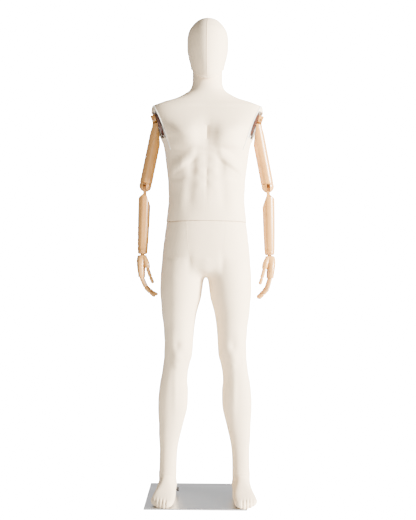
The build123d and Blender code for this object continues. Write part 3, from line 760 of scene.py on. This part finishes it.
def outward(o):
    bm = bmesh.new()
    bm.from_mesh(o.data)
    bmesh.ops.recalc_face_normals(bm, faces=bm.faces)
    bm.to_mesh(o.data)
    bm.free()
    return o


def ellipsoid(name, centre, radii, turn=0.0):
    bm = bmesh.new()
    bmesh.ops.create_uvsphere(bm, u_segments=20, v_segments=12, radius=1.0)
    pts = []
    c, s = math.cos(turn), math.sin(turn)
    for v in bm.verts:
        x, y, z = v.co.x * radii[0], v.co.y * radii[1], v.co.z * radii[2]
        v.co = Vector((centre[0] + x * c - y * s, centre[1] + x * s + y * c, centre[2] + z)) * MM
    me = bpy.data.meshes.new(name)
    bm.to_mesh(me)
    bm.free()
    o = bpy.data.objects.new(name, me)
    bpy.context.scene.collection.objects.link(o)
    return o


pieces = [outward(tube_mesh("hips", pelvis_rings()))]
for s in (-1, 1):
    pieces.append(outward(tube_mesh("leg", leg_rings(s, 94, 915))))
pieces.append(ellipsoid("front_bulge", (0, -95, 903), (33, 23, 46)))
lower = join_into("lower_cloth", pieces)
remesh(lower, 4.0, 12)
pts = get_points(lower)
near_crotch = np.exp(-(((pts[:, 2] - 875) / 34) ** 4)) * step(np.abs(pts[:, 0]), -1, 0)
pts = relax(lower, pts, 0.9 * near_crotch * (1 - step(np.abs(pts[:, 0]), 150, 172)), 90)
x, y, z = pts[:, 0], pts[:, 1], pts[:, 2]
front = step(-(y - BODY_Y), 12, 50)
back = step(y - BODY_Y, 12, 60)
FRONT_LEG = []
BACK_LEG = []
for s in (-1, 1):
    FRONT_LEG += [
        (s * 106, 552, 20, 22, 5.5),
        (s * 106, 512, 13, 13, 3.0),
        (s * 78, 535, 9, 18, -2.5),
        (s * 134, 535, 9, 18, -2.5),
        (s * 80, 590, 20, 22, 4.0),
        (s * 130, 612, 20, 30, 3.0),
        (s * 106, 590, 10, 16, -2.0),
        (s * 112, 420, 10, 90, 2.5),
        (s * 100, 760, 45, 90, 3.0),
        (s * 62, 905, 12, 36, -3.0),
    ]
    BACK_LEG += [
        (s * 96, 400, 20, 50, 4.0),
        (s * 146, 408, 18, 50, 4.0),
        (s * 120, 400, 6, 60, -2.5),
        (s * 106, 548, 26, 16, -4.0),
        (s * 84, 930, 55, 50, 8.0),
        (s * 90, 858, 60, 9, -4.0),
    ]
BACK_LEG += [(0, 930, 9, 70, -9.0)]
pts[:, 1] += -bumps(x, z, FRONT_LEG) * front + bumps(x, z, BACK_LEG) * back
# flat, level top edge
top = pts[:, 2] > 1059.5
pts[top, 2] = 1061.6
low = pts[:, 2] < 95.5
pts[low, 2] = 94.0
set_points(lower, pts)
well = outward(tube_mesh("hip_well", pelvis_rings(5.0, 6.0, 1046)))
wp = get_points(well)
wp[wp[:, 2] > 1060, 2] = 1070
set_points(well, wp)
boolean(lower, [well])
shade(lower, 50)
dress(lower, mat_linen)
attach(lower, "lower_body")
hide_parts("gusset_cover", "right_leg_cover", "left_leg_cover")
lower_tree = BVHTree.FromObject(lower, bpy.context.evaluated_depsgraph_get())

feet = []
for s, hand in ((-1, "right"), (1, "left")):
    path = [(75, 1060), (71.5, 1010), (68, 970), (59, 933), (42, 888), (25, 861), (12, 851)]
    xs = np.interp(np.arange(1059, 850, -4.0), [p[1] for p in path][::-1], [p[0] for p in path][::-1])
    points = []
    for px, pz in zip(xs, np.arange(1059, 850, -4.0)):
        p = project(lower_tree, (s * px, -300, pz), (0, 1, 0), 0.0)
        if p is not None and p[1] < -20:
            points.append(p)
    welt(f"{hand}_front_seam", points, 0.5, mat_linen, "lower_body")

    # foot: heel to toes, a dimpled toe row, ankle cuff
    foot_samples = np.concatenate([np.arange(-51, 190, 5.0), [192, 195, 198, 200, 201.5]])
    foot_rows = smooth_rows([(-r[0], *r[1:]) for r in FOOT], foot_samples)
    rings = []
    for y0, cx, hw, height in foot_rows:
        y0 = -y0
        a = np.linspace(0, 2 * math.pi, 60, endpoint=False)
        c, q = np.cos(a), np.sin(a)
        half = height / 2
        px = hw * np.sign(c) * np.abs(c) ** (2 / 2.5)
        # narrower on top than at the sole
        pz = half * np.sign(q) * np.abs(q) ** (2 / 2.5)
        narrow = 1 - 0.30 * step(pz, 0, half) * step(np.array(height), 40, 80)
        rings.append(np.stack([s * (cx + px * narrow), np.full(60, y0), 5.6 + half + pz], axis=1))
    bits = [outward(tube_mesh("foot_body", np.array(rings)))]
    bits.append(outward(tube_mesh("ankle", leg_rings(s, 94, 106))))
    ankle = leg_rings(s, 94, 99, 2.5)
    drop = []
    for zz, grow in ((30, 0.96), (50, 0.97), (70, 0.98), (85, 0.99), (94, 1.0), (97, 1.0)):
        r = ankle[0].copy()
        c = r.mean(axis=0)
        r[:, :2] = c[:2] + (r[:, :2] - c[:2]) * grow
        r[:, 2] = zz
        drop.append(r)
    bits.append(outward(tube_mesh("ankle_post", np.array(drop))))
    foot = join_into(f"{hand}_foot_cloth", bits)
    remesh(foot, 2.2, 16)
    fp = get_points(foot)
    side_x = s * fp[:, 0]
    # the outer toes stand back, and dimples part the five toes under the cloth
    tip = step(-fp[:, 1], 105, 200)
    fp[:, 1] += tip * 30 * np.clip((side_x - 132) / 62, 0, 1.2) ** 1.7
    fp[:, 1] += tip * 9 * np.clip((126 - side_x) / 16, 0, 1.2) ** 1.8
    groove = np.zeros(len(fp))
    for gap in (140.5, 153.0, 165.5, 178.0):
        groove += np.exp(-(((side_x - gap) / 2.6) ** 2))
    reach = -fp[:, 1] + 30 * np.clip((side_x - 132) / 62, 0, 1.2) ** 1.7
    fp[:, 1] += groove * 4.2 * step(reach, 178, 196)
    fp[:, 2] -= groove * 1.5 * step(reach, 160, 186) * step(fp[:, 2], 14, 26)
    pad = np.sin(np.clip((side_x - 112) / 84, 0, 1) * math.pi)
    fp[:, 2] += (1 - groove) * 1.0 * step(reach, 176, 190) * pad * step(fp[:, 2], 16, 26)
    fp[:, 2] = np.where(fp[:, 2] < 7.2, 5.2 + (fp[:, 2] - 5.2) * 0.15, fp[:, 2])
    fp[:, 2] = np.maximum(fp[:, 2], 5.15)
    set_points(foot, fp)
    shade(foot, 60)
    dress(foot, mat_linen)
    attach(foot, "lower_body")
    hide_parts(f"{hand}_foot_cover")
    feet.append(foot)
    cuff = []
    for k in range(90):
        a = 2 * math.pi * k / 90
        d = (math.cos(a), math.sin(a), 0)
        start = (s * 141.5 + 120 * d[0], BODY_Y + 3 + 120 * d[1], 98.5)
        p = project(lower_tree, start, (-d[0], -d[1], 0), -0.3)
        if p is not None:
            p[2] = 97.5 + 1.5 * math.sin(a)
            cuff.append(p)
    welt(f"{hand}_ankle_seam", cuff, 0.9, mat_linen, "lower_body", True)

liner("lower_form", [lower] + feet, "lower_body", "lower_shell", -10, 1040)

# ------------------------------------------------------------------ head
HEAD = [
    (0, 1652, -14, 62.0, 67, 50, 20),
    (1, 1661, -16, 64.8, 73, 48, 19),
    (2, 1675, -18, 68.3, 81, 42, 17),
    (3, 1698, -21, 74.3, 92, 29, 12),
    (4, 1727, -22, 79, 100, 13, 5.5),
    (5, 1760, -20, 79.3, 103, 4, 2),
    (6, 1788, -17, 75.3, 98, 0, 0),
    (7, 1806, -15, 66.5, 88, 0, 0),
    (8, 1821, -14, 55.5, 75, 0, 0),
    (9, 1834, -13, 42, 57, 0, 0),
    (10, 1841.5, -12.5, 26, 36, 0, 0),
    (11, 1846, -12, 10, 14, 0, 0),
]


def head_skin(t_values, inset=0.0, count=200):
    rows = smooth_rows(HEAD, t_values)
    rings = []
    for t, cz, cy, hw, hd, drop, rise in rows:
        x, y = superellipse(count, max(hw - inset, 1), max(hd - inset, 1), max(hd - inset, 1), 2.08)
        facing = step(-y, 0.2 * hd, hd)
        # two flatter cheeks meeting in a soft ridge that wanders a little
        ridge = -3.0 * math.sin(math.pi * np.clip((t - 1) / 7, 0, 1))
        away = np.abs(x - ridge)
        y = y + facing * (2.2 * (1 - np.exp(-((away / 20) ** 2))) - 2.2) * float(step(np.array(t), 0.5, 2))
        # the jaw line dips towards the chin and rises towards the nape
        share = np.clip(y / hd, -1.05, 1.05)
        climb = np.where(share < 0, -drop * np.abs(share) ** 1.6, rise * np.abs(share) ** 1.3)
        rings.append(np.stack([x, cy + y, cz + climb], axis=1))
    return np.array(rings)


t_head = np.concatenate([np.linspace(0, 0.12, 4), np.arange(0.2, 11.001, 0.09)])
head = outward(tube_mesh("head_cloth", rim(head_skin(t_head), True, False, 1.4)))
bore = []
a = np.linspace(0, 2 * math.pi, 96, endpoint=False)
for zz in (1560, 1689.3):
    bore.append(np.stack([58.2 * np.cos(a), NECK_Y + 58.2 * np.sin(a), np.full(96, zz)], axis=1))
boolean(head, [outward(tube_mesh("bore", np.array(bore)))])
shade(head, 40)
dress(head, mat_linen)
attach(head, "head")
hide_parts("head_cover")
liner("head_form", [head], "head", "head_shell", 1696, 1900)

# band round the jaw and the raised seam over the face
band_rows = head_skin(np.linspace(0.0, 0.62, 9))
band = []
for k, ring in enumerate(band_rows):
    c = ring.mean(axis=0)
    r = ring - c
    length = np.linalg.norm(r, axis=1)[:, None]
    lift = 1.5 * math.sin(math.pi * (k + 0.6) / 9.6) ** 0.5
    band.append(c + r * (1 + lift / length))
inner_band = []
for k, ring in enumerate(band_rows[::-1]):
    c = ring.mean(axis=0)
    r = ring - c
    length = np.linalg.norm(r, axis=1)[:, None]
    inner_band.append(c + r * (1 - 1.2 / length))
strip = np.array(band + inner_band + band[:1])
jaw = outward(tube_mesh("jaw_band", strip, False, False))
shade(jaw, 50)
dress(jaw, mat_linen)
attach(jaw, "head")
rows = head_skin(np.arange(0.05, 10.9, 0.12))
seam_points = []
for t, ring in zip(np.arange(0.05, 10.9, 0.12), rows):
    wander = -3.0 * math.sin(math.pi * np.clip((t - 1) / 7, 0, 1))
    front_side = ring[:, 1] < ring[:, 1].mean()
    idx = np.where(front_side)[0]
    best = idx[np.argmin(np.abs(ring[idx, 0] - wander))]
    seam_points.append(ring[best] + np.array([wander - ring[best, 0], -0.3, 0]))
for t, ring in list(zip(np.arange(0.05, 10.9, 0.12), rows))[::-1]:
    idx = np.where(ring[:, 1] >= ring[:, 1].mean())[0]
    best = idx[np.argmin(np.abs(ring[idx, 0]))]
    seam_points.append(ring[best] * np.array([0, 1, 1]) + np.array([0, 0.2, 0]))
welt("head_seam", seam_points, 0.9, mat_linen, "head")

# ------------------------------------------------------------------ stage, camera, light
bpy.ops.mesh.primitive_plane_add(size=30, location=(0, 6, 0))
floor = bpy.context.object
floor.name = "floor"
m, t, b = new_material("floor_paper", (0.93, 0.93, 0.93), 0.9)
b.inputs["Specular IOR Level"].default_value = 0.0
b.inputs["Emission Color"].default_value = (1, 1, 1, 1)
floor_path = t.nodes.new("ShaderNodeLightPath")
floor_glow = t.nodes.new("ShaderNodeMath")
floor_glow.operation = "MULTIPLY"
floor_glow.inputs[1].default_value = 24.0
t.links.new(floor_path.outputs["Is Camera Ray"], floor_glow.inputs[0])
t.links.new(floor_glow.outputs[0], b.inputs["Emission Strength"])
dress(floor, m)

world = bpy.data.worlds.new("studio")
bpy.context.scene.world = world
world.use_nodes = True
bg = world.node_tree.nodes["Background"]
bg.inputs["Color"].default_value = (1, 1, 1, 1)
# paper white behind the figure, a dim room on the figure itself, a brighter one in its gloss
path_node = world.node_tree.nodes.new("ShaderNodeLightPath")
seen = world.node_tree.nodes.new("ShaderNodeMath")
seen.operation = "MULTIPLY_ADD"
seen.inputs[1].default_value = 24.0
gloss = world.node_tree.nodes.new("ShaderNodeMath")
gloss.operation = "MULTIPLY_ADD"
gloss.inputs[1].default_value = 0.7
gloss.inputs[2].default_value = 0.27
world.node_tree.links.new(path_node.outputs["Is Glossy Ray"], gloss.inputs[0])
world.node_tree.links.new(path_node.outputs["Is Camera Ray"], seen.inputs[0])
world.node_tree.links.new(gloss.outputs[0], seen.inputs[2])
world.node_tree.links.new(seen.outputs[0], bg.inputs["Strength"])


def area(name, place, target, size, power, color=(1, 1, 1), size_y=None):
    light = bpy.data.lights.new(name, "AREA")
    light.energy = power
    light.color = color
    light.shape = "RECTANGLE"
    light.size = size
    light.size_y = size_y or size
    o = bpy.data.objects.new(name, light)
    bpy.context.scene.collection.objects.link(o)
    o.location = place
    o.rotation_euler = (Vector(target) - Vector(place)).to_track_quat("-Z", "Y").to_euler()
    return o


area("key", (4.6, -2.3, 2.3), (0, 0, 0.95), 1.0, 2300, (1, 0.98, 0.94), 2.0)
area("fill", (-1.2, -5.0, 1.3), (0, 0, 0.9), 2.0, 60, (1, 0.93, 0.85))

camera_data = bpy.data.cameras.new("camera")
camera_data.sensor_fit = "VERTICAL"
camera_data.sensor_height = 36
camera_data.lens = 57.253846
camera_data.clip_end = 100
camera = bpy.data.objects.new("camera", camera_data)
bpy.context.scene.collection.objects.link(camera)
camera.location = (0.0085, -3.207, 0.817)
camera_data.shift_y = 0.05
camera.rotation_euler = (math.radians(90), math.radians(-0.45), 0)
bpy.context.scene.camera = camera
